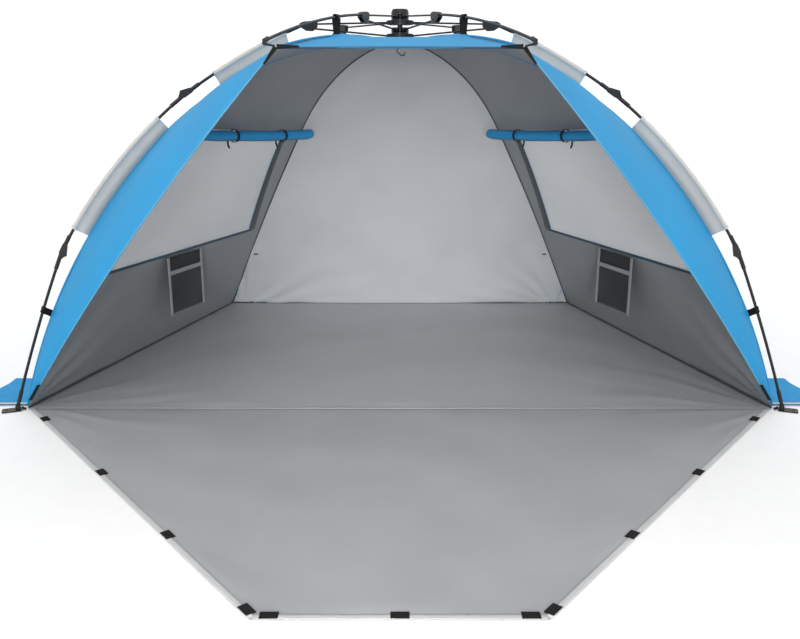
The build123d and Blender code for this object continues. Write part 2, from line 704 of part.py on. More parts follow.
edge_way = opening_chord.normalized()
corner_face = Plane(awning_corner, x_dir=(-1, 0, 0), z_dir=Vector(-1, 0, 0).cross(edge_way))
down_way = corner_face.to_local_coords(awning_corner + edge_way)
web_width, web_length = corner_web
with BuildPart() as corner_webbing:
    face = corner_face.offset(corner_web_gap if corner_face.z_dir.Y < 0 else -corner_web_gap)
    plate(face, webbing_thickness, [(0, 0), (web_length, 0), (web_length, web_width), (0, web_width)])
    slant = Vector(down_way.X, down_way.Y) * web_length
    outline = [(0, 0), (slant.X, slant.Y), (slant.X + web_width, slant.Y), (web_width, 0)]
    plate(face, webbing_thickness, outline)
save_both("awning_corner_webbing", corner_webbing.part)

# ---- Porch: a flap hinged along the front of the floor, and its tabs ----
hinge_y = front_corner.Y - porch_gap
hinge_corner = Vector(front_corner.X - porch_inset, hinge_y)
porch_corner = Vector(porch_front_width / 2, hinge_y - porch_length)
with BuildPart() as door_flap:
    with BuildSketch():
        right = [(hinge_corner.X, hinge_corner.Y), (porch_corner.X, porch_corner.Y)]
        Polygon(*right, *[(-x, y) for x, y in reversed(right)], align=None)
    extrude(amount=floor_thickness)
save("door_flap", door_flap.part)

side_angle = degrees(atan2(porch_corner.Y - hinge_corner.Y, porch_corner.X - hinge_corner.X))
side_way = (porch_corner - hinge_corner).normalized()
side_inward = Vector(side_way.Y, -side_way.X) * (tab_size[1] / 2 + 1)
tab_places = [(hinge_corner + (porch_corner - hinge_corner) * s + side_inward, side_angle) for s in tab_shares]
tab_places.append((porch_corner + Vector(-tab_size[0], tab_size[1] / 2 + 1), 0))
with BuildPart() as side_tabs:
    for place, angle in tab_places:
        with BuildSketch(Plane((place.X, place.Y, floor_thickness)).rotated((0, 0, angle))) as tab:
            Rectangle(tab_size[0], tab_size[1])
        extrude(tab.sketch, amount=tab_size[2])
with BuildPart() as middle_tab:
    with BuildSketch(Plane((0, porch_corner.Y + tab_size[1] / 2 + 1, floor_thickness))):
        Rectangle(tab_size[0], tab_size[1])
    extrude(amount=tab_size[2])
left_tabs = mirror(side_tabs.part, about=Plane.YZ)
save("door_tabs", Compound(children=[side_tabs.part, left_tabs, middle_tab.part]))
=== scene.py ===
"""The looks of an instant beach shelter: skin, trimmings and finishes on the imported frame.

Metres, in the frame of the CAD model: the origin on the ground under the hub, +Z up, the opening towards -Y.
A skin is a grid between two rails. Its parameter u is 0 at the hub, 1 at the shoulder, 1.5 at the windows'
sill and 2 at the ground, and v runs across from the first rail to the second.
"""
from math import atan2, cos, hypot, pi, radians, sin

import bmesh
import bpy
import numpy as np
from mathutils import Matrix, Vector


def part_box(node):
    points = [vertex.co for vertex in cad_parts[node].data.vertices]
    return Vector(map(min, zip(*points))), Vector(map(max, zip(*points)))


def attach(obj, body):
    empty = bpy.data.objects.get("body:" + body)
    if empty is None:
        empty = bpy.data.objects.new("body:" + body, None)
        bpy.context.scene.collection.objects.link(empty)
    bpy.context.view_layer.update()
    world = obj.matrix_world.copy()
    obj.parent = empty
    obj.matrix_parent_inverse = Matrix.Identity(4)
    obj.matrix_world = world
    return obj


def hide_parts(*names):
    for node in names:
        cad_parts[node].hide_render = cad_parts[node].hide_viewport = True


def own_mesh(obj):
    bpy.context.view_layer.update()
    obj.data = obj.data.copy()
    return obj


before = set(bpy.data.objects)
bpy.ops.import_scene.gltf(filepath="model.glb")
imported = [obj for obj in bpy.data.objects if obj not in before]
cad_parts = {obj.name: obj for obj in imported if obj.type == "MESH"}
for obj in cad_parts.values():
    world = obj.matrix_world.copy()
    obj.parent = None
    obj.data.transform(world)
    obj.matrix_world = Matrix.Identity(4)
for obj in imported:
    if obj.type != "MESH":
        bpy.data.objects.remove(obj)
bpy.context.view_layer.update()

# ---- Sizes, as in the CAD model ----
FRONT_CORNER = (1.252, -0.450)
REAR_CORNER = (0.808, 0.901)
HUB_HEIGHT = 1.178
AWNING_CORNER = np.array((0.310, -0.900, 1.155))
AWNING_RISE = 0.028
OPENING_BOW = 0.030
FRONT_RADIUS, REAR_RADIUS = 0.060, 0.090
FRONT_SHOULDER, REAR_SHOULDER = (0.792, 0.917), (0.614, 0.834)
FRONT_BOWS, REAR_BOWS = (0.076, 0.076), (0.055, 0.014)
SILL_HEIGHT, WALL_FOOT = 0.410, 0.004
WINDOW_FRONT, WINDOW_REAR = 0.05, (0.84, 0.92)
SEAM_GAP = 0.003
PORCH_LENGTH, PORCH_FRONT, PORCH_INSET, PORCH_GAP = 1.166, 0.632, 0.008, 0.003
TAB_SHARES = (0.085, 0.418, 0.713, 0.978)
FLAP_SPAN, FLAP_WIDTHS, FLAP_GAP = (-0.420, -0.165), (0.210, 0.241), 0.006
LEG_TOP = (0.34513, 1.237)
FRONT_JOINTS = (LEG_TOP, (0.746, 1.015), (1.170, 0.523), (hypot(*FRONT_CORNER) + 0.027, 0.014))
REAR_JOINTS = (LEG_TOP, (0.672, 0.905), (0.985, 0.440), (hypot(*REAR_CORNER) + 0.030, 0.014))
FRONT_POLE_BOWS, REAR_POLE_BOWS = (0.012, 0.032, 0.006), (0.014, 0.008, 0.004)
SLEEVE_ENDS = ((0.064, 0.120), (0.110, 0.088))  # bare pole at the top and foot of each sleeve
SLEEVE_FLATS = {"front": ((0.156, 0.274), (0.071, 0.451)), "rear": ((0.258, 0.282), (0.194, 0.363))}
LOOP_SPAN = (0.190, 0.210)  # from a leg's lower joint to the two edges of its loop
SLEEVE_RADIUS, CUFF_RADIUS, CUFF_LENGTH = 0.0076, 0.0084, 0.008
TIE_SHARES = (0.315, 0.735)  # places of the ties along a window roll
ROLL_SECTIONS = 70
AWNING_TURN, AWNING_TIP = radians(-69.5), (0.961, 1.172)  # azimuth, and the tip's radius and height
FLOOR_LEVEL = 0.0012  # middle of a sheet that lies on the ground
SEAM_RADIUS, PIPING_RADIUS = 0.0042, 0.0034


# ---- Colours and finishes ----
def tone(code):
    """An sRGB hex colour as linear values."""
    parts = [int(code[i : i + 2], 16) / 255 for i in (1, 3, 5)]
    return [c / 12.92 if c <= 0.04045 else ((c + 0.055) / 1.055) ** 2.4 for c in parts] + [1.0]


class Nodes:
    """A material with a Principled shader, and short calls that add nodes to it."""

    def __init__(self, name, colour, rough, metallic=0.0, sheen=0.0, coat=0.0):
        self.material = bpy.data.materials.new(name)
        self.material.use_nodes = True
        self.tree = self.material.node_tree
        self.shader = next(n for n in self.tree.nodes if n.type == "BSDF_PRINCIPLED")
        self.colour = tone(colour)
        self.set("Base Color", self.colour)
        self.set("Roughness", rough)
        self.set("Metallic", metallic)
        self.set("Sheen Weight", sheen)
        self.set("Coat Weight", coat)
        self.coordinates = self.add("ShaderNodeTexCoord")
        self.normal = None
        self.rough = rough

    def set(self, socket, value):
        self.shader.inputs[socket].default_value = value

    def add(self, kind, **inputs):
        node = self.tree.nodes.new(kind)
        for key, value in inputs.items():
            socket = key.replace("_", " ")
            if hasattr(value, "is_output"):
                self.tree.links.new(value, node.inputs[socket])
            else:
                node.inputs[socket].default_value = value
        return node

    def link(self, output, socket):
        self.tree.links.new(output, self.shader.inputs[socket])

    def noise(self, scale, detail=3.0, space="Object", stretch=(1, 1, 1), distortion=0.0):
        place = self.add("ShaderNodeMapping", Vector=self.coordinates.outputs[space], Scale=stretch)
        return self.add(
            "ShaderNodeTexNoise", Vector=place.outputs[0], Scale=scale, Detail=detail, Distortion=distortion
        ).outputs["Fac"]

    def ramp(self, factor, low, high, start=0.3, end=0.7):
        node = self.add("ShaderNodeValToRGB", Fac=factor)
        for stop, place, colour in zip(node.color_ramp.elements, (start, end), (low, high)):
            stop.position, stop.color = place, colour
        return node.outputs["Color"]

    def mottle(self, scale, depth):
        """Colour and roughness that vary slowly over the surface."""
        factor = self.noise(scale)
        low = [c * (1 - depth) for c in self.colour[:3]] + [1]
        high = [min(1, c * (1 + depth)) for c in self.colour[:3]] + [1]
        self.link(self.ramp(factor, low, high), "Base Color")
        spread = self.add("ShaderNodeMapRange", Value=factor, To_Min=self.rough - 0.06, To_Max=self.rough + 0.06)
        self.link(spread.outputs[0], "Roughness")
        return self

    def bump(self, height, distance, strength=1.0):
        links = {"Normal": self.normal} if self.normal else {}
        self.normal = self.add(
            "ShaderNodeBump", Height=height, Distance=distance, Strength=strength, **links
        ).outputs["Normal"]
        self.link(self.normal, "Normal")
        return self

    def waves(self, period, direction, space="UV"):
        """Bands of a given period in metres."""
        node = self.add("ShaderNodeTexWave", Vector=self.coordinates.outputs[space], Scale=0.314 / period)
        node.bands_direction = direction
        return node.outputs["Fac"]

    def weave(self, period, depth, space="UV"):
        """Threads that cross at right angles."""
        warp, weft = self.waves(period, "X", space), self.waves(period, "Y", space)
        crossed = self.add("ShaderNodeMath")
        crossed.operation = "MULTIPLY"
        self.tree.links.new(warp, crossed.inputs[0])
        self.tree.links.new(weft, crossed.inputs[1])
        return self.bump(crossed.outputs[0], depth)


def woven(
    name, colour, rough=0.62, depth=0.05, crease=0.0012, period=0.0012, sheen=0.15, metallic=0.0, gloss=0.5
):
    """Coated polyester: a fine weave, slight patches of colour and soft creases."""
    nodes = Nodes(name, colour, rough, metallic=metallic, sheen=sheen)
    nodes.set("Specular IOR Level", gloss)
    nodes.mottle(4.0, depth)
    nodes.bump(nodes.noise(5.0, 4.0, stretch=(1, 1, 0.6), distortion=0.6), crease, 0.5)
    nodes.bump(nodes.noise(34.0, 3.0, distortion=0.4), crease * 0.12, 0.4)
    return nodes.weave(period, 0.00008).material


def webbed(name, colour, period=0.0024, depth=0.0003):
    """Woven strap: ribs across it, a finer crossed weave, and colour and roughness that vary in small patches."""
    nodes = Nodes(name, colour, 0.75)
    nodes.set("Specular IOR Level", 0.25)
    nodes.mottle(30.0, 0.18)
    nodes.bump(nodes.waves(period, "Y"), depth)
    return nodes.weave(period * 0.5, depth * 0.4).material


def moulded(name, colour, rough, coat=0.0, metallic=0.0, grain=90.0, depth=0.00006, vary=0.12):
    """Plastic or metal, with a fine grain and handling marks."""
    nodes = Nodes(name, colour, rough, metallic=metallic, coat=coat)
    nodes.mottle(14.0, vary)
    nodes.bump(nodes.noise(grain * 10, 2.0), depth, 0.5)
    return nodes.material


def netting(name, colour, rough, hole, period):
    """Netting: threads round small holes that let the light through."""
    nodes = Nodes(name, colour, rough, sheen=0.2)
    nodes.mottle(3.0, 0.04)
    threads = []
    for direction in "XY":
        bands = nodes.waves(period, direction)
        threads.append(nodes.ramp(bands, (0, 0, 0, 1), (1, 1, 1, 1), hole - 0.08, hole + 0.08))
    both = nodes.add("ShaderNodeMath")
    both.operation = "MAXIMUM"
    for thread, socket in zip(threads, both.inputs):
        nodes.tree.links.new(thread, socket)
    nodes.link(both.outputs[0], "Alpha")
    return nodes.bump(both.outputs[0], period * 0.2).material


blue = woven("blue_fabric", "#208EC4", rough=0.65, sheen=0.0, gloss=0.25)
silver = woven("silver_fabric", "#979B9E", rough=0.5, metallic=0.25, sheen=0.0)
# Lighter copy of the silver coating for the back wall's inside: painted light on the same fabric as silver_fabric.
back_silver_painted_light = woven("silver_back_painted_light", "#C2C5C8", rough=0.55, metallic=0.15, sheen=0.0)
# Darker copy of the silver coating for the awning's inside: painted shade on the same fabric as silver_fabric.
ceiling_silver_painted_shade = woven("silver_ceiling_painted_shade", "#747A7E", rough=0.5, metallic=0.25, sheen=0.0)
groundsheet = woven("floor_fabric", "#999A9E", rough=0.6, crease=0.002)
inner_sheet = woven("floor_inner", "#A3A4A8", rough=0.6, crease=0.002)
grey = woven("grey_fabric", "#C4C0B9", rough=0.75, sheen=0.0)
hem = woven("hem_fabric", "#BDBEBE", rough=0.75, sheen=0.0)
pocket_trim = woven("pocket_trim", "#8A8C8E", rough=0.7)
navy = woven("navy_binding", "#123F57", rough=0.6)
roll_blue = woven("roll_fabric", "#1C90CE", rough=0.6, crease=0.003, sheen=0.0)
charcoal = woven("seam_binding", "#3A4043", rough=0.7)
pale_piping = woven("piping", "#5A9BBE", rough=0.6, sheen=0.0)
webbing = webbed("webbing", "#141414")
window_net = netting("mesh", "#E6E9EC", 0.6, 0.66, 0.0016)
black_net = netting("black_mesh", "#1D1E20", 0.7, 0.25, 0.0020)
netting_back = woven("pocket_back", "#17181A", rough=0.75)
black_plastic = moulded("black_plastic", "#0D0D0E", 0.45)
fibreglass = moulded("fibreglass", "#17181A", 0.32, coat=0.15, grain=40)
black_metal = moulded("black_metal", "#0E0E10", 0.35)
steel = moulded("steel", "#B9BBBE", 0.28, metallic=1.0, vary=0.06)
chrome = moulded("post_chrome", "#C9CBCE", 0.14, metallic=1.0, vary=0.04)
finishes = {m.name: m for m in (
    blue, silver, groundsheet, grey, webbing, black_plastic, fibreglass, black_metal, steel, chrome)}
finishes.update(mesh=window_net, black_mesh=black_net)


# ---- Meshes ----
def make(name, points, faces, materials, indices=None, uvs=None):
    """An object of a mesh, shaded smooth."""
    mesh = bpy.data.meshes.new(name)
    mesh.from_pydata([tuple(p) for p in points], [], [tuple(f) for f in faces])
    for m in materials:
        mesh.materials.append(m)
    if indices is not None:
        mesh.polygons.foreach_set("material_index", indices)
    if uvs is not None:
        layer = mesh.uv_layers.new(name="UVMap")
        corners = np.empty(len(mesh.loops), np.int32)
        mesh.loops.foreach_get("vertex_index", corners)
        layer.data.foreach_set("uv", np.asarray(uvs, np.float32)[corners].ravel())
    mesh.polygons.foreach_set("use_smooth", [True] * len(mesh.polygons))
    mesh.validate()
    mesh.update()
    piece = bpy.data.objects.new(name, mesh)
    bpy.context.scene.collection.objects.link(piece)
    return piece


def grid_normals(points):
    """Unit normals of a grid of points: down the grid crossed with across it."""
    normals = np.cross(np.gradient(points, axis=0), np.gradient(points, axis=1))
    return normals / np.maximum(np.linalg.norm(normals, axis=2, keepdims=True), 1e-12)


def metric(points):
    """Distances across and down a grid of points, in metres."""
    across = np.zeros(points.shape[:2])
    across[:, 1:] = np.cumsum(np.linalg.norm(np.diff(points, axis=1), axis=2), axis=1)
    across -= across[:, -1:] / 2
    down = np.zeros(points.shape[:2])
    down[1:] = np.cumsum(np.linalg.norm(np.diff(points, axis=0), axis=2), axis=0)
    return across, down


def cloth(name, points, materials, thickness=0.0014, relief=None, keep=None):
    """A sheet of cloth on a grid of points, with two faces and a rim. Relief moves it along its normal."""
    points = np.asarray(points, float)
    across, down = metric(points)
    normals = grid_normals(points)
    if relief is not None:
        points = points + normals * relief(across, down)[..., None]
        points[..., 2] = np.maximum(points[..., 2], thickness * 0.6)
        normals = grid_normals(points)
    rows, columns = points.shape[:2]
    keep = np.ones((rows - 1, columns - 1), bool) if keep is None else keep
    index = np.arange(rows * columns).reshape(rows, columns)
    quads = np.stack([index[:-1, :-1], index[1:, :-1], index[1:, 1:], index[:-1, 1:]], axis=-1)[keep]
    edges = {}
    for quad in quads.tolist():
        for a, b in zip(quad, quad[1:] + quad[:1]):
            if (b, a) in edges:
                del edges[(b, a)]
            else:
                edges[(a, b)] = True
    count = rows * columns
    flat, uv = points.reshape(-1, 3), np.stack([across, down], axis=-1).reshape(-1, 2)
    half = normals.reshape(-1, 3) * thickness / 2
    rim = [(b, a, a + count, b + count) for a, b in edges]
    faces = quads.tolist() + (quads[:, ::-1] + count).tolist() + rim
    indices = [0] * len(quads) + [len(materials) - 1] * len(quads) + [0] * len(rim)
    piece = make(name, np.vstack([flat + half, flat - half]), faces, materials, indices, np.vstack([uv, uv]))
    used = np.zeros(2 * count, bool)
    used[np.unique(quads)] = True
    used[np.unique(quads) + count] = True
    if not used.all():
        drop_loose(piece)
    return piece


def drop_loose(piece):
    """Delete the points of a mesh that no face uses."""
    work = bmesh.new()
    work.from_mesh(piece.data)
    work.verts.ensure_lookup_table()
    bmesh.ops.delete(work, geom=[v for v in work.verts if not v.link_faces], context="VERTS")
    work.to_mesh(piece.data)
    work.free()


def frames(path):
    """A side vector and a second vector square to it at each point of a path, carried along without twist."""
    ways = np.gradient(path, axis=0)
    ways /= np.linalg.norm(ways, axis=1, keepdims=True)
    side = np.cross(ways[0], (0, 0, 1.0))
    if np.linalg.norm(side) < 1e-3:
        side = np.array((1.0, 0, 0))
    sides = []
    for way in ways:
        side = side - way * side.dot(way)
        side = side / np.linalg.norm(side)
        sides.append(side)
    sides = np.array(sides)
    return sides, np.cross(ways, sides)


def loft(name, rings, materials, capped=True):
    """A closed skin through a list of rings of points."""
    rings = np.asarray(rings, float)
    rows, columns = rings.shape[:2]
    faces = []
    for i in range(rows - 1):
        for j in range(columns):
            k = (j + 1) % columns
            faces.append((i * columns + j, i * columns + k, (i + 1) * columns + k, (i + 1) * columns + j))
    if capped:
        faces += [tuple(range(columns))[::-1], tuple(range((rows - 1) * columns, rows * columns))]
    around = np.zeros((rows, columns))
    around[:, 1:] = np.cumsum(np.linalg.norm(np.diff(rings, axis=1), axis=2), axis=1)
    down = np.zeros((rows, columns))
    down[1:] = np.cumsum(np.linalg.norm(np.diff(rings, axis=0), axis=2), axis=0)
    return make(name, rings.reshape(-1, 3), faces, materials, uvs=np.stack([around, down], -1).reshape(-1, 2))


def tube(name, path, radius, material, sides=8):
    """A round tube along a path. The radius may be a list, one for each point."""
    path = np.asarray(path, float)
    u, v = frames(path)
    radii = np.broadcast_to(np.asarray(radius, float), len(path))
    turns = np.linspace(0, 2 * pi, sides, endpoint=False)
    rings = [
        p + r * (np.outer(np.cos(turns), a) + np.outer(np.sin(turns), b)) for p, r, a, b in zip(path, radii, u, v)
    ]
    return loft(name, rings, [material])


def strap(name, path, across, width, material, thickness=0.0016, wave=0.0):
    """A flat woven strap along a path, lying in the direction across."""
    path = np.asarray(path, float)
    across = np.asarray(across, float)
    across = np.broadcast_to(across / np.linalg.norm(across), path.shape)
    widths = np.broadcast_to(np.asarray(width, float), len(path))
    stops = np.linspace(-0.5, 0.5, 5)
    points = path[:, None] + across[:, None] * (stops[None, :, None] * widths[:, None, None])
    edge = 0.0003 * np.array((1, -1, 0, -1, 1.0))
    return cloth(name, points, [material], thickness, lambda u, v: edge + wave * np.sin(v * 55))


def smooth_path(path, passes=3):
    """The same path with its bends eased."""
    path = np.array(path, float)
    for _ in range(passes):
        path[1:-1] = (path[:-2] + 2 * path[1:-1] + path[2:]) / 4
    return path


def smooth(start, end, count, sag=(0, 0, 0)):
    """Points on a shallow bow between two places."""
    start, end, sag = (np.array(p, float) for p in (start, end, sag))
    s = np.linspace(0, 1, count)[:, None]
    return start + (end - start) * s + sag * (4 * s * (1 - s))


# ---- Relief of stretched cloth ----
def wrinkles(across, down, height, length, seed):
    """Soft irregular waves."""
    random = np.random.default_rng(seed)
    total = np.zeros_like(across)
    for _ in range(8):
        turn, wave = random.uniform(0, pi), length * random.uniform(0.6, 1.7)
        way = across * cos(turn) + down * sin(turn)
        bend = across * sin(turn) - down * cos(turn)
        total += np.sin(2 * pi * (way + 0.12 * np.sin(bend / length * 2.2)) / wave + random.uniform(0, 2 * pi))
    return total * height / 4


def fan(across, down, corner, height, reach, seed, folds=20):
    """Pleats that spread from a corner where the cloth is pulled."""
    x, y = across - corner[0], down - corner[1]
    distance, turn = np.hypot(x, y), np.arctan2(y, x)
    random = np.random.default_rng(seed)
    shape = sum(
        np.sin(folds * share * turn + random.uniform(0, 2 * pi) + 0.7 * np.sin(distance / reach * 2))
        for share in (0.55, 1.0, 1.45)
    )
    fade = distance / reach * np.exp(1 - distance / reach)
    return shape * fade * height / 2


# ---- Rails ----
def bow(start, end, bulge, share):
    return start + (end - start) * share + bulge * (4 * share * (1 - share))


def polar(turn, radius, height):
    return np.array((radius * cos(turn), radius * sin(turn), height))


def height_share(half, height):
    """The share of a bow at which it comes down to a height."""
    low, high = 0.0, 1.0
    for _ in range(40):
        middle = (low + high) / 2
        low, high = (middle, high) if bow(*half, middle)[2] > height else (low, middle)
    return low


def seam_halves(corner, top_radius, shoulder, bows):
    turn = atan2(corner[1], corner[0])
    stops = [(top_radius, HUB_HEIGHT), shoulder, (hypot(*corner), 0)]
    halves = []
    for (r0, z0), (r1, z1), size in zip(stops, stops[1:], bows):
        dr, dz = r1 - r0, z1 - z0
        scale = size / hypot(dr, dz)
        halves.append((polar(turn, r0, z0), polar(turn, r1, z1), polar(turn, -dz * scale, dr * scale)))
    return halves


def rail(halves, shares):
    """A rail as a function of u. Shares are those of its lower half at the sill and at the wall's foot."""

    def at(u):
        if u <= 1:
            return bow(*halves[0], u)
        sill, foot = shares
        s = sill * 2 * (u - 1) if u <= 1.5 else sill + (foot - sill) * 2 * (u - 1.5)
        return bow(*halves[1], s)

    return at


def flipped(at):
    return lambda u: at(u) * (-1, 1, 1)


front_halves = seam_halves(FRONT_CORNER, FRONT_RADIUS, FRONT_SHOULDER, FRONT_BOWS)
rear_halves = seam_halves(REAR_CORNER, REAR_RADIUS, REAR_SHOULDER, REAR_BOWS)
front_shares = [height_share(front_halves[1], z) for z in (SILL_HEIGHT, WALL_FOOT)]
rear_shares = [height_share(rear_halves[1], z) for z in (SILL_HEIGHT, WALL_FOOT)]
ridge_top = polar(atan2(AWNING_CORNER[1], AWNING_CORNER[0]), FRONT_RADIUS, HUB_HEIGHT)
chord = np.array((*FRONT_CORNER, 0)) - AWNING_CORNER
opening_bulge = np.cross(np.cross(chord, (1, 0, 0)), chord)
opening_bulge *= OPENING_BOW / np.linalg.norm(opening_bulge)
front_rail, rear_rail = rail(front_halves, front_shares), rail(rear_halves, rear_shares)
edge_halves = [
    (ridge_top, AWNING_CORNER, np.array((0, 0, AWNING_RISE))),
    (AWNING_CORNER, AWNING_CORNER + chord, opening_bulge),
]
edge_rail = rail(edge_halves, front_shares)


def between(rail_a, rail_b, rows, columns):
    """A grid of points between two rails. Columns is a list of v, or a function of u that gives one."""
    grid = []
    for u in rows:
        a, b = rail_a(u), rail_b(u)
        width = np.linalg.norm(b - a)
        inset = min(SEAM_GAP / width, 0.5)
        v = np.clip(np.asarray(columns(u) if callable(columns) else columns), inset, 1 - inset)
        grid.append(a + (b - a) * v[:, None])
    return np.array(grid)


def mirrored(piece, name):
    """A copy of a piece on the left."""
    mesh = piece.data.copy()
    mesh.name = name
    points = np.empty(len(mesh.vertices) * 3, np.float32)
    mesh.vertices.foreach_get("co", points)
    points[::3] *= -1
    mesh.vertices.foreach_set("co", points)
    mesh.flip_normals()
    mesh.update()
    copy = bpy.data.objects.new(name, mesh)
    bpy.context.scene.collection.objects.link(copy)
    return copy


def fit(piece, slot, nodes=(), body="shelter", folds=True):
    """Put a finished piece on its body, hide the CAD nodes that it replaces, and give it a mesh of its own when
    folds is set.
    """
    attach(piece, body)
    if nodes:
        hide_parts(*nodes)
    if folds:
        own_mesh(piece)
    return piece


def pair(piece, slot, right=(), left=(), **sheet):
    """Fit a right-hand piece and its mirror image. The flat size and the other sheet values are not used."""
    name = piece.name
    other = mirrored(piece, name.replace("right_", "left_"))
    for one, nodes in ((piece, right), (other, left)):
        fit(one, slot, nodes)
    return piece, other


# ---- Skin ----
upper = np.linspace(0, 1, 61)
lower = np.concatenate([np.linspace(1, 1.5, 43)[1:], np.linspace(1.5, 2, 43)[1:]])
rows = np.concatenate([upper, lower])


def arch(across):
    """1 along the middle of a sheet and 0 along its two sides."""
    return np.cos(np.clip(across / np.maximum(across.max(axis=1, keepdims=True), 0.01), -1, 1) * pi / 2)


def back_relief(across, down):
    width, foot = across.max(), down.max()
    sag = -0.012 * arch(across)
    ends = fan(across, down, (width * 0.93, foot), 0.0042, 0.17, 3)
    ends += fan(across, down, (-width * 0.93, foot), 0.0042, 0.17, 4)
    return sag * np.minimum(down / 0.3, 1) + ends + wrinkles(across, down, 0.0012, 0.5, 5)


# The back wall's inside takes the lighter silver copy, which is painted light.
back_wall = cloth(
    "back_skin", between(rear_rail, flipped(rear_rail), rows, np.linspace(0, 1, 151)), [blue, back_silver_painted_light],
    relief=back_relief,
)
fit(back_wall, "silver_fabric", ["back_wall"])


def wall_columns(u):
    """Columns across a side wall that follow the window's two upright edges."""
    share = min(max((u - 1) * 2, 0), 1)
    rear = WINDOW_REAR[0] + (WINDOW_REAR[1] - WINDOW_REAR[0]) * share
    return np.concatenate([
        np.linspace(0, WINDOW_FRONT, 7), np.linspace(WINDOW_FRONT, rear, 89)[1:], np.linspace(rear, 1, 17)[1:]
    ])


def wall_relief(across, down):
    foot = down.max()
    front, rear = across[-1, 0], across[-1, -1]
    ends = fan(across, down, (front, foot), 0.0048, 0.15, 8, 24)
    ends += fan(across, down, (rear, foot), 0.0022, 0.12, 9)
    return ends + wrinkles(across, down, 0.0010, 0.4, 10)


window_hole = np.ones((len(rows) - 1, 110), bool)
window_hole[60:102, 6:94] = False
wall = cloth(
    "right_side_skin", between(front_rail, rear_rail, rows, wall_columns), [blue, silver], relief=wall_relief,
    keep=window_hole,
)
pair(
    wall, "silver_fabric", ["right_side_wall"], ["left_side_wall"],
    flat=(1.40, 1.72), area=0.95, held="stretched",
)

window_rows = np.linspace(0.992, 1.508, 30)


def window_columns(u):
    share = (u - 1) * 2
    rear = WINDOW_REAR[0] + (WINDOW_REAR[1] - WINDOW_REAR[0]) * share
    return np.linspace(WINDOW_FRONT - 0.008, rear + 0.008, 60)


window = cloth(
    "right_window", between(front_rail, rear_rail, window_rows, window_columns), [window_net], 0.0006,
    lambda across, down: 0.0022 + wrinkles(across, down, 0.0012, 0.4, 21),
)
pair(window, "mesh", ["window_meshes"], ["window_meshes"], flat=(1.05, 0.56), area=0.53, held="stretched")


def band(name, rail_a, rail_b, us, low, high, material, lift, thickness=0.0012):
    """A flat binding on a skin, between two shares of its width."""
    grid = between(rail_a, rail_b, us, lambda u: np.linspace(low(u), high(u), 5))
    return cloth(name, grid, [material], thickness, lambda across, down: np.full_like(across, lift))


def rear_edge(u):
    """Share of the wall's width at the window's rear edge."""
    return WINDOW_REAR[0] + (WINDOW_REAR[1] - WINDOW_REAR[0]) * (u - 1) * 2


post = band(
    "right_window_post", front_rail, rear_rail, np.linspace(1, 1.5, 30), rear_edge,
    lambda u: rear_edge(u) + 0.035, charcoal, -0.003,
)
pair(post, "silver_fabric")
sill_path = [
    front_rail(1.5) + (rear_rail(1.5) - front_rail(1.5)) * s + np.array((-0.004, 0, 0))
    for s in np.linspace(0.01, 0.93, 40)
]
sill = tube("right_window_sill", sill_path, 0.005, navy)
pair(sill, "blue_fabric")


def gore_relief(across, down):
    return wrinkles(across, down, 0.0014, 0.4, 13) + 0.010 * arch(across) * np.minimum(down / 0.3, 1)


gore_rows = np.concatenate([rows[:-4], [1.965]])
gore = cloth(
    "right_front_skin", between(edge_rail, front_rail, gore_rows, np.linspace(0, 1, 61)), [blue, silver],
    relief=gore_relief,
)
pair(
    gore, "blue_fabric", ["right_front_gore"], ["left_front_gore"],
    flat=(0.62, 1.9), area=0.75, held="stretched",
)


def awning_relief(across, down):
    front = np.exp(-((down - down.max()) / 0.08) ** 2)
    hung = np.exp(-(((np.abs(across) - 0.19) / 0.06) ** 2) - ((down - 0.44) / 0.10) ** 2)
    return (wrinkles(across, down, 0.0016, 0.3, 15) - 0.006 + 0.012 * hung) * (1 - front)


# The awning's inside takes the darker silver copy, which is painted shade.
awning = cloth(
    "awning_skin", between(flipped(edge_rail), edge_rail, np.linspace(0, 1, 81), np.linspace(0, 1, 61)),
    [blue, ceiling_silver_painted_shade], relief=awning_relief,
)
fit(awning, "blue_fabric", ["awning"])


def floor_grid(right_front, right_rear, front_y, rear_y, rows, columns, flip):
    grid = []
    for s in np.linspace(0, 1, rows):
        x, y = right_front + (right_rear - right_front) * s, front_y + (rear_y - front_y) * s
        ends = (-x, x) if flip else (x, -x)
        grid.append([(ends[0] + (ends[1] - ends[0]) * t, y, FLOOR_LEVEL) for t in np.linspace(0, 1, columns)])
    return np.array(grid)


def edge_fade(across, down, width=0.03):
    """0 along the four edges of a sheet and 1 further in."""
    sides = np.abs(across[:, :1]) - np.abs(across)
    ends = np.minimum(down, down.max(axis=0, keepdims=True) - down)
    return np.clip(np.minimum(sides, ends) / width - 0.4, 0, 1)


def floor_relief(across, down):
    """The groundsheet lies flat, with pleats from its pegged front corners."""
    wide = across[0, -1]
    pleats = fan(across, down, (wide, 0), 0.0055, 0.16, 31, 16)
    pleats += fan(across, down, (-wide, 0), 0.0055, 0.16, 32, 16)
    rise = wrinkles(across, down, 0.0022, 0.45, 33) + pleats
    return np.clip(rise + 0.0008, 0, 0.009) * edge_fade(across, down)


floor_points = floor_grid(
    FRONT_CORNER[0] - 0.003, REAR_CORNER[0] - 0.003, FRONT_CORNER[1], REAR_CORNER[1] - 0.003, 101, 181, False
)
floor_sheet = cloth("groundsheet", floor_points, [inner_sheet], relief=floor_relief)
fit(floor_sheet, "floor_fabric", ["floor_sheet"])

hinge_y = FRONT_CORNER[1] - PORCH_GAP
hinge_x, porch_x, porch_y = FRONT_CORNER[0] - PORCH_INSET, PORCH_FRONT / 2, hinge_y - PORCH_LENGTH


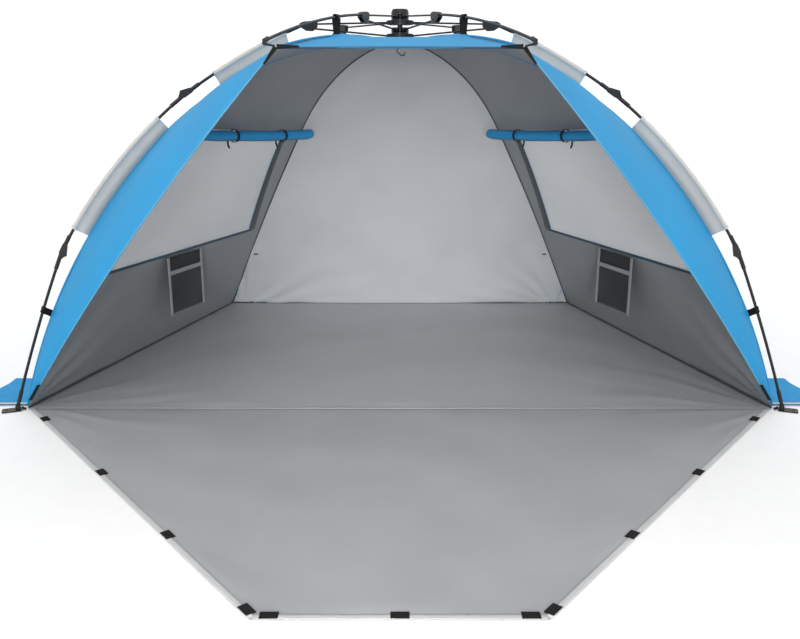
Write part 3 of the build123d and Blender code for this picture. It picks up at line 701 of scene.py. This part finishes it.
def porch_relief(across, down):
    wide = across[0, -1]
    pleats = fan(across, down, (wide, 0), 0.004, 0.14, 41, 16)
    pleats += fan(across, down, (-wide, 0), 0.004, 0.14, 42, 16)
    rise = wrinkles(across, down, 0.0022, 0.5, 43) + pleats
    return np.clip(rise + 0.0008, 0, 0.008) * edge_fade(across, down)


porch = cloth(
    "porch_flap", floor_grid(hinge_x - 0.002, porch_x - 0.002, hinge_y, porch_y + 0.002, 101, 161, True),
    [groundsheet], relief=porch_relief,
)
fit(porch, "floor_fabric", ["door_flap"], "porch", False)


def flat(path, across, width, height):
    """A strip of points on the ground: a path with points to each side of it."""
    path, across = np.asarray(path, float), np.asarray(across, float)
    stops = np.linspace(-0.5, 0.5, 5) * width
    points = path[:, None] + across[None, None] * stops[None, :, None]
    points[..., 2] = height
    return points


def upright(points):
    """The same grid, turned over if its normals point down."""
    return points if grid_normals(points)[..., 2].mean() > 0 else points[:, ::-1]


# ---- Porch: hems and tabs ----
hinge = np.array((hinge_x, hinge_y, 0.0))
porch_corner = np.array((porch_x, porch_y, 0.0))
side_way = (porch_corner - hinge) / np.linalg.norm(porch_corner - hinge)
side_in = np.array((side_way[1], -side_way[0], 0.0))
hem_width, hem_height = 0.015, 0.0030
hem_path = smooth(
    hinge + side_way * 0.01 + side_in * hem_width / 2,
    porch_corner - side_way * 0.004 + side_in * hem_width / 2, 90,
)


def hem_wave(across, down):
    return wrinkles(across, down, 0.0006, 0.06, 51)


side_strip = upright(flat(hem_path, side_in, hem_width, hem_height))
side_hem = cloth("right_porch_hem", side_strip, [hem], 0.0014, hem_wave)
front_y = porch_y + hem_width / 2
front_path = smooth((-porch_x + 0.006, front_y, 0), (porch_x - 0.006, front_y, 0), 60)
front_strip = upright(flat(front_path, (0, 1, 0), hem_width, hem_height))
front_hem = cloth("porch_front_hem", front_strip, [hem], 0.0014, hem_wave)
left_hem = mirrored(side_hem, "left_porch_hem")
for piece in (side_hem, left_hem, front_hem):
    fit(piece, "grey_fabric", (), "porch", False)


def tab(name, centre, way, across, length=0.040, width=0.024):
    """A hook-and-loop tab, with a stitched border and a soft pile."""
    stops_a, stops_b = np.linspace(-0.5, 0.5, 17), np.linspace(-0.5, 0.5, 11)
    points = np.array([[centre + way * length * a + across * width * b for b in stops_b] for a in stops_a])
    points[..., 2] = 0.0042

    def border(u, v):
        edge = (np.abs(u) > width * 0.42) | (np.abs(v - length / 2) > length * 0.44)
        return np.where(edge, -0.0007, 0.0003 * np.sin(u * 2600) * np.sin(v * 2600))

    return cloth(name, upright(points), [webbing], 0.0018, border)


tabs = []
for number, share in enumerate(TAB_SHARES):
    centre = hinge + (porch_corner - hinge) * share + side_in * 0.013
    tabs.append(tab(f"right_tab_{number + 1}", centre, side_way, side_in))
tabs.append(tab("right_tab_5", porch_corner + (-0.040, 0.013, 0), np.array((1.0, 0, 0)), np.array((0, 1.0, 0))))
tabs += [mirrored(piece, piece.name.replace("right", "left")) for piece in tabs]
tabs.append(tab("middle_tab", np.array((0, porch_y + 0.013, 0)), np.array((1.0, 0, 0)), np.array((0, 1.0, 0))))
for piece in tabs:
    fit(piece, "webbing", ["door_tabs"], "porch", False)


# ---- Seams: piping and bindings ----
def piping(name, at, us, radius, material, slot, lift=(0, 0, 0)):
    path = np.array([at(u) for u in us]) + np.array(lift)
    return pair(tube(name, path, radius, material, 6), slot)


piping("right_rear_binding", rear_rail, np.linspace(0, 1.998, 90), SEAM_RADIUS, charcoal, "silver_fabric")
piping("right_front_piping", front_rail, np.linspace(0, 1.985, 90), PIPING_RADIUS, blue, "blue_fabric")
piping("right_opening_piping", edge_rail, np.linspace(1.0, 1.975, 90), 0.0022, pale_piping, "blue_fabric")
piping("right_ridge_piping", edge_rail, np.linspace(0, 0.97, 40), PIPING_RADIUS, blue, "blue_fabric")
corners = [np.array((*FRONT_CORNER, 0.005)), np.array((*REAR_CORNER, 0.005))]
corners.append(corners[1] * (-1, 1, 1))
base_path = smooth(corners[0] + (-0.004, 0.004, 0), corners[1] + (-0.004, 0, 0), 60)
base = tube("right_base_binding", base_path, SEAM_RADIUS, charcoal, 6)
pair(base, "silver_fabric")
rear_path = smooth(corners[1] + (0, -0.003, 0), corners[2] + (0, -0.003, 0), 60)
rear_base = tube("rear_base_binding", rear_path, SEAM_RADIUS, charcoal, 6)
fit(rear_base, "silver_fabric")
front_edge = smooth(AWNING_CORNER, AWNING_CORNER * (-1, 1, 1), 50, (0, 0.004, 0.0015))
awning_hem = tube("awning_hem", front_edge + (0, 0, -0.002), 0.0030, navy, 8)
fit(awning_hem, "blue_fabric")
zip_left, zip_right = (-hinge_x + 0.02, hinge_y + 0.001, 0.0034), (hinge_x - 0.02, hinge_y + 0.001, 0.0034)
zip_strip = tube("porch_zip", smooth(zip_left, zip_right, 80), 0.0019, groundsheet, 6)
fit(zip_strip, "floor_fabric", (), "porch", False)

# ---- Hub patch ----
ring = [ridge_top, front_rail(0), rear_rail(0)]
ring = ring + [p * (-1, 1, 1) for p in ring[::-1]]
outline = np.concatenate([smooth(a, b, 9)[:-1] for a, b in zip(ring, ring[1:] + ring[:1])])
outline = np.vstack([outline, outline[:1]])
patch_points = np.array([outline * (s, s, 1) for s in np.linspace(0.02, 0.97, 16)])


def puckers(across, down):
    return 0.0018 * np.sin(np.linspace(0, 2 * pi * 14, across.shape[1]))[None] * down / 0.1


patch = cloth("hub_skin", upright(patch_points), [blue, silver], relief=puckers)
fit(patch, "blue_fabric", ["hub_patch"])


# ---- Window rolls and their ties ----
def roll_points(start, end, turns=3.2, inner=0.006, outer=0.0200):
    """A sheet rolled up on itself round a line, with a loose outer edge."""
    path = smooth(start, end, ROLL_SECTIONS, (0, 0, -0.006))
    u, v = frames(path)
    angles = np.linspace(0, 2 * pi * turns, 150)
    spiral = inner + (outer - inner) * np.linspace(0, 1, 150)
    grid = []
    for i, (p, a, b) in enumerate(zip(path, u, v)):
        s = i / (ROLL_SECTIONS - 1)
        pinch = 1 - 0.10 * sum(np.exp(-((s - place) / 0.035) ** 2) for place in TIE_SHARES)
        lump = 1 + 0.025 * np.sin(angles * 3 + s * 17) + 0.02 * np.sin(s * 41 + angles)
        radius = spiral * pinch * lump
        grid.append(p + np.outer(radius * np.cos(angles), a) + np.outer(radius * np.sin(angles), b))
    return np.array(grid), path


roll_start = front_rail(1) + (-0.057, 0.068, -0.032)
roll_end = rear_rail(1) + (-0.049, -0.057, 0.005)
grid, roll_path = roll_points(roll_start, roll_end)
roll = cloth("right_window_roll", grid, [silver, roll_blue], 0.0009)
pair(roll, "blue_fabric", ["window_rolls"], ["window_rolls"], flat=(0.26, 0.53), held="folded")
roll_way = (roll_end - roll_start) / np.linalg.norm(roll_end - roll_start)
for number, share in enumerate(TIE_SHARES):
    centre = roll_path[int(share * (ROLL_SECTIONS - 1))]
    side = np.cross(roll_way, (0, 0, 1.0))
    side /= np.linalg.norm(side)
    top = np.cross(side, roll_way)
    turns = np.linspace(0, 2 * pi, 33)
    loop = centre + 0.0222 * (np.outer(np.cos(turns), side) + np.outer(np.sin(turns), top))
    tie = strap(f"right_roll_tie_{number + 1}", loop, roll_way, 0.010, webbing, 0.0012)
    pair(tie, "webbing", ["window_ties"], ["window_ties"])
    tail = smooth(centre + side * 0.021, centre + side * 0.024 + (0, 0, -0.045), 12, (0.006, 0, 0))
    pair(strap(f"right_tie_tail_{number + 1}", tail, roll_way, 0.009, webbing, 0.0012, 0.0008), "webbing")

# ---- Hanging pockets ----
sill_front, sill_rear = front_rail(1.5), rear_rail(1.5)
sill_way = (sill_rear - sill_front) / np.linalg.norm(sill_rear - sill_front)
pocket_top = sill_front + (sill_rear - sill_front) * 0.52 + (-0.012, 0, -0.008)
pocket_in = np.array((-sill_way[1], sill_way[0], 0.0))
pocket_in /= np.linalg.norm(pocket_in)
POCKET_WIDTH, POCKET_DROP, POCKET_MOUTH = 0.205, 0.224, 0.062


def pocket_point(x, drop, out=0.0):
    """A place on a pocket: x across it, drop below the sill, out into the room."""
    return pocket_top + sill_way * x + np.array((0, 0, -drop)) + pocket_in * out


def belly(x, drop):
    return 0.008 * cos(pi * x / POCKET_WIDTH) * sin(pi * min(max((drop - POCKET_MOUTH) / 0.16, 0), 1)) + 0.002


net_rows = np.linspace(POCKET_MOUTH, POCKET_DROP - 0.004, 30)
net_columns = np.linspace(-POCKET_WIDTH / 2, POCKET_WIDTH / 2, 30)
net_points = np.array([[pocket_point(x, d, belly(x, d)) for x in net_columns] for d in net_rows])
net = cloth("right_pocket_net", net_points, [black_net], 0.0008)
pair(net, "black_mesh", ["mesh_pockets"], ["mesh_pockets"], flat=(0.21, 0.17), held="hung")
back_rows = np.linspace(0.004, POCKET_DROP, 20)
back_points = np.array([[pocket_point(x, d, -0.002) for x in net_columns] for d in back_rows])
pocket_back = cloth("right_pocket_back", back_points, [netting_back], 0.0008)
pair(pocket_back, "black_mesh", flat=(0.205, 0.22), held="hung")
for number, x in enumerate((-POCKET_WIDTH / 2, POCKET_WIDTH / 2)):
    path = np.array([pocket_point(x, d, 0.004) for d in np.linspace(0.0, POCKET_DROP + 0.004, 24)])
    pair(strap(f"right_pocket_edge_{number + 1}", path, sill_way, 0.014, pocket_trim, 0.0016), "grey_fabric")
mouth = np.array([pocket_point(x, POCKET_MOUTH, belly(x, POCKET_MOUTH) + 0.002) for x in net_columns])
pair(strap("right_pocket_mouth", mouth, (0, 0, 1), 0.016, pocket_trim, 0.0016), "grey_fabric")


# ---- Sleeves and loops on the legs ----
def pole_point(start, end, size, share):
    """A place on a pole's bow in its radial plane."""
    dr, dz = end[0] - start[0], end[1] - start[1]
    length, lift = hypot(dr, dz), 4 * size * share * (1 - share)
    return np.array((start[0] + dr * share - dz / length * lift, start[1] + dz * share + dr / length * lift))


def web_rings(turn, seam_line, start, end, size, shares, radius, gap, ragged=0.0):
    """Sections of a sleeve: a loop round the pole and a double web down to the seam."""
    out, side = np.array((cos(turn), sin(turn))), np.array((-sin(turn), cos(turn), 0))
    rings = []
    for number, share in enumerate(shares):
        pole = pole_point(start, end, size, share)
        foot = min(seam_line, key=lambda q: hypot(*(q - pole)))
        reach = hypot(*(foot - pole))
        way = (foot - pole) / reach
        swell = radius + (0.0010 if number in (0, len(shares) - 1) else 0) + ragged * sin(share * 60)
        angles = np.linspace(radians(38), radians(322), 18)
        loop = [(swell * cos(a), swell * sin(a)) for a in angles]
        wave = ragged * 2 * sin(share * 43)
        web = [(swell + 0.006, 0.0022), (reach * 0.5, 0.0010 + wave), (reach - gap, 0.0007)]
        outline = loop + [(x, y - (0.0014 if y < 0.002 else 0.0044)) for x, y in web] + web[::-1]
        places = []
        for along, off in outline:
            flat_place = pole + way * along
            place = np.array((out[0] * flat_place[0], out[1] * flat_place[0], flat_place[1]))
            places.append(place + side * off)
        rings.append(places)
    return rings


def seam_line(halves):
    """Radius and height of places along a seam."""
    points = [bow(*half, s) for half in halves for s in np.linspace(0, 1, 90)]
    return [np.array((hypot(p[0], p[1]), p[2])) for p in points]


for place, corner, joints, bows, halves in (
    ("front", FRONT_CORNER, FRONT_JOINTS, FRONT_POLE_BOWS, front_halves),
    ("rear", REAR_CORNER, REAR_JOINTS, REAR_POLE_BOWS, rear_halves),
):
    turn, line = atan2(corner[1], corner[0]), seam_line(halves)
    for number, (clear_top, clear_foot) in enumerate(SLEEVE_ENDS):
        start, end = joints[number], joints[number + 1]
        length = hypot(end[0] - start[0], end[1] - start[1])
        shares = np.linspace(clear_top / length, 1 - clear_foot / length, 40)
        rings = web_rings(turn, line, start, end, bows[number], shares, SLEEVE_RADIUS, SEAM_GAP, 0.0004)
        sleeve = loft(f"right_{place}_sleeve_{number + 1}", rings, [grey], capped=False)
        nodes = (["rear_sleeves"], ["rear_sleeves"])
        if place == "front":
            nodes = (["right_front_sleeves"], ["left_front_sleeves"])
        pair(sleeve, "grey_fabric", *nodes, flat=SLEEVE_FLATS[place][number], held="stretched")
        for edge, share in (("top", shares[0]), ("foot", shares[-1])):
            step = CUFF_LENGTH / length * (1 if edge == "top" else -1)
            cuff_shares = np.linspace(share - step * 0.1, share + step, 4)
            rings = web_rings(turn, line, start, end, bows[number], cuff_shares, CUFF_RADIUS, SEAM_GAP)
            pair(loft(f"right_{place}_cuff_{number + 1}_{edge}", rings, [hem], capped=False), "grey_fabric")
    start, end = joints[2], joints[3]
    length = hypot(end[0] - start[0], end[1] - start[1])
    shares = np.linspace(LOOP_SPAN[0] / length, LOOP_SPAN[1] / length, 5)
    rings = web_rings(turn, line, start, end, bows[2], shares, SLEEVE_RADIUS, SEAM_GAP)
    pair(loft(f"right_{place}_leg_loop", rings, [webbing]), "webbing", ["leg_loops"], ["leg_loops"])

# ---- Straps at the awning ----
strap_out = np.array((cos(AWNING_TURN), sin(AWNING_TURN), 0.0))
strap_side = np.array((-sin(AWNING_TURN), cos(AWNING_TURN), 0.0))
box_low, box_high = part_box("awning_straps")
strap_x = 0.530
pole_z = box_high[2] - 0.0069
strap_heights = np.linspace(pole_z - 0.005, box_low[2] - 0.004, 16)
strap_path = np.array([strap_out * strap_x + np.array((0, 0, z)) for z in strap_heights])
strap_face = strap_out * 0.35 + strap_side * 0.94
hanger = strap("right_awning_strap", strap_path, strap_face, np.linspace(0.026, 0.017, 16), webbing, 0.0022)
pair(hanger, "webbing", ["awning_straps"], ["awning_straps"])
turns = np.linspace(0, 2 * pi, 25)
loop_circle = np.outer(np.cos(turns), strap_side) + np.outer(np.sin(turns), (0, 0, 1))
loop = strap_out * strap_x + np.array((0, 0, pole_z)) + 0.0060 * loop_circle
pair(strap("right_awning_strap_loop", loop, strap_out, 0.022, webbing, 0.0014), "webbing")

edge_way = chord / np.linalg.norm(chord)
corner_back = AWNING_CORNER + np.array((0, -0.004, 0.002))
for name, way in (("across", np.array((-1.0, 0, 0))), ("down", edge_way)):
    path = smooth(corner_back + way * 0.002, corner_back + way * 0.058, 14)
    face = np.cross(way, (0, -1.0, 0.2))
    widths = np.linspace(0.012, 0.004, 14)
    web = strap(f"right_corner_web_{name}", path + (0, -0.001, 0), face, widths, webbing, 0.0016)
    pair(web, "webbing", ["awning_corner_webbing"], ["awning_corner_webbing"])

tip = polar(AWNING_TURN, *AWNING_TIP)
tip_way = np.array((cos(AWNING_TURN), sin(AWNING_TURN), -0.35))
elbow = np.vstack([
    tip - tip_way * 0.012, tip + tip_way * 0.003, tip + tip_way * 0.006 + (0.001, 0, -0.006),
    (tip + AWNING_CORNER) / 2 + (0.004, -0.012, -0.002), AWNING_CORNER + (0.003, -0.005, 0.003),
])
steps = np.linspace(0, 4, 33)
elbow = np.stack([np.interp(steps, range(5), elbow[:, k]) for k in range(3)], -1)
elbow[1:-1] = (elbow[:-2] + elbow[1:-1] + elbow[2:]) / 3
radii = np.interp(steps, (0, 1, 2, 3, 4), (0.0062, 0.0060, 0.0048, 0.0030, 0.0026))
right_elbow = tube("right_tip_elbow", elbow, radii, black_plastic, 12)
left_elbow = mirrored(right_elbow, "left_tip_elbow")
for piece, body in ((right_elbow, "right_awning_arm"), (left_elbow, "left_awning_arm")):
    fit(piece, "black_plastic", (), body, False)

# ---- Hook under the hub, and ties at its foot ----
hook_path = [(0.0, 0.0, HUB_HEIGHT - 0.003), (0.0, 0.0, HUB_HEIGHT - 0.012)]
hook_path += [(0.011 * sin(a), 0.0, HUB_HEIGHT - 0.022 + 0.008 * cos(a)) for a in np.linspace(0.2, -pi * 0.9, 18)]
hook_path += [
    (0.008 - 0.009 * cos(a), 0.0, HUB_HEIGHT - 0.031 - 0.008 * sin(a)) for a in np.linspace(0.1, pi * 1.15, 18)
]
hook = tube("ceiling_s_hook", smooth_path(np.array(hook_path)), 0.0019, black_plastic, 10)
fit(hook, "black_metal", ["ceiling_hook"])
for number, turn in enumerate((0.35, 1.25, 2.2, 3.3, 4.3, 5.4)):
    base, head = polar(turn, 0.040, HUB_HEIGHT + 0.002), polar(turn + 0.25, 0.034, HUB_HEIGHT + 0.017)
    path = smooth(base, head, 12, polar(turn, 0.006, 0.004))
    side = (-sin(turn), cos(turn), 0)
    fit(strap(f"hub_tie_{number + 1}", path, side, 0.013, blue, 0.0012, 0.0012), "blue_fabric")

# ---- Straps and flaps at the corners ----
grip = np.array([edge_rail(u) for u in np.linspace(1.90, 1.965, 12)])
pair(strap("right_corner_grip", grip + (0.004, -0.005, 0), (1.0, 0.2, 0), 0.012, webbing, 0.0016), "webbing")
for place, corner, joints in (("front", FRONT_CORNER, FRONT_JOINTS), ("rear", REAR_CORNER, REAR_JOINTS)):
    turn = atan2(corner[1], corner[0])
    near, far = hypot(*corner) + 0.002, joints[3][0] - 0.012
    path = np.array([
        polar(turn, r, 0.0025 + 0.010 * max(0, (r - near) / (far - near) - 0.4)) for r in np.linspace(near, far, 8)
    ])
    side = (-sin(turn), cos(turn), 0)
    web = strap(f"right_{place}_foot_web", path, side, np.linspace(0.016, 0.020, 8), webbing, 0.0018)
    pair(web, "webbing", ["foot_webbing"], ["foot_webbing"])

floor_way = np.array((REAR_CORNER[0] - FRONT_CORNER[0], REAR_CORNER[1] - FRONT_CORNER[1]))
flap_rows = []
for s in np.linspace(0, 1, 40):
    y = FLAP_SPAN[0] + (FLAP_SPAN[1] - FLAP_SPAN[0]) * s
    x = FRONT_CORNER[0] + floor_way[0] * (y - FRONT_CORNER[1]) / floor_way[1] + FLAP_GAP
    width = FLAP_WIDTHS[0] + (FLAP_WIDTHS[1] - FLAP_WIDTHS[0]) * s
    flap_rows.append([(x + width * t, y, FLOOR_LEVEL) for t in np.linspace(0, 1, 34)])
flap_rows = np.array(flap_rows)


def flap_wave(across, down):
    return np.clip(wrinkles(across, down, 0.0024, 0.16, 61) + 0.0012, 0, 0.006)


flap = cloth("right_sand_flap", upright(flap_rows), [blue], relief=flap_wave)
pair(flap, "blue_fabric", ["sand_flaps"], ["sand_flaps"], flat=(0.225, 0.255), held="laid")
near_edge = smooth(flap_rows[0, 0] + (0.002, 0.005, 0), flap_rows[0, -1] + (-0.002, 0.005, 0), 30)
pair(cloth("right_flap_hem", upright(flat(near_edge, (0, 1, 0), 0.013, 0.0062)), [hem], 0.0014), "grey_fabric")

# ---- Camera, lights and stage ----
camera = bpy.data.objects.new("camera", bpy.data.cameras.new("camera"))
camera.location = (0, -3.216, 1.124)
camera.rotation_euler = (radians(73.66), 0, 0)
camera.data.lens, camera.data.sensor_width = 39.8, 36
bpy.context.scene.collection.objects.link(camera)
bpy.context.scene.camera = camera

world = bpy.data.worlds.new("studio")
world.use_nodes = True
world.node_tree.nodes["Background"].inputs["Color"].default_value = (1, 1, 1, 1)
world.node_tree.nodes["Background"].inputs["Strength"].default_value = 1.1
bpy.context.scene.world = world
bpy.context.scene.view_settings.view_transform = "Standard"


def area_light(name, place, target, size, power, spread=180):
    lamp = bpy.data.objects.new(name, bpy.data.lights.new(name, "AREA"))
    lamp.data.shape, lamp.data.size, lamp.data.energy = "DISK", size, power
    lamp.data.spread = radians(spread)
    lamp.location = place
    way = Vector(target) - Vector(place)
    lamp.rotation_euler = way.to_track_quat("-Z", "Y").to_euler()
    bpy.context.scene.collection.objects.link(lamp)


area_light("key", (-1.5, -4.5, 4.5), (0, 0, 0.4), 3.0, 40)
area_light("front", (0, -5.5, 0.9), (0, 0.9, 0.05), 1.2, 6.2, 25)

STAGE_REACH, STAGE_LEVEL = 14, -0.0004
stage_corners = [(x * STAGE_REACH, y * STAGE_REACH, STAGE_LEVEL) for x, y in ((-1, -1), (1, -1), (1, 1), (-1, 1))]
stage_paint = moulded("studio_floor", "#F4F4F4", 0.8, grain=20, vary=0.01)
ground = make("studio_floor", stage_corners, [(0, 1, 2, 3)], [stage_paint])

# ---- The wall toggles: a copy of their CAD node, on the shelter ----
toggle_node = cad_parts["wall_toggles"]
toggle_slot = toggle_node.material_slots[0].material.name.split(".")[0]
rings = bpy.data.objects.new("toggle_rings", toggle_node.data.copy())
rings.data.transform(toggle_node.matrix_world)
rings.data.materials.clear()
rings.data.materials.append(finishes.get(toggle_slot, black_plastic))
bpy.context.scene.collection.objects.link(rings)
fit(rings, toggle_slot, ["wall_toggles"])

# ---- Finishes of the rigid nodes ----
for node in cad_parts.values():
    for place in node.material_slots:
        key = place.material.name.split(".")[0]
        place.material = finishes.get(key, black_plastic)
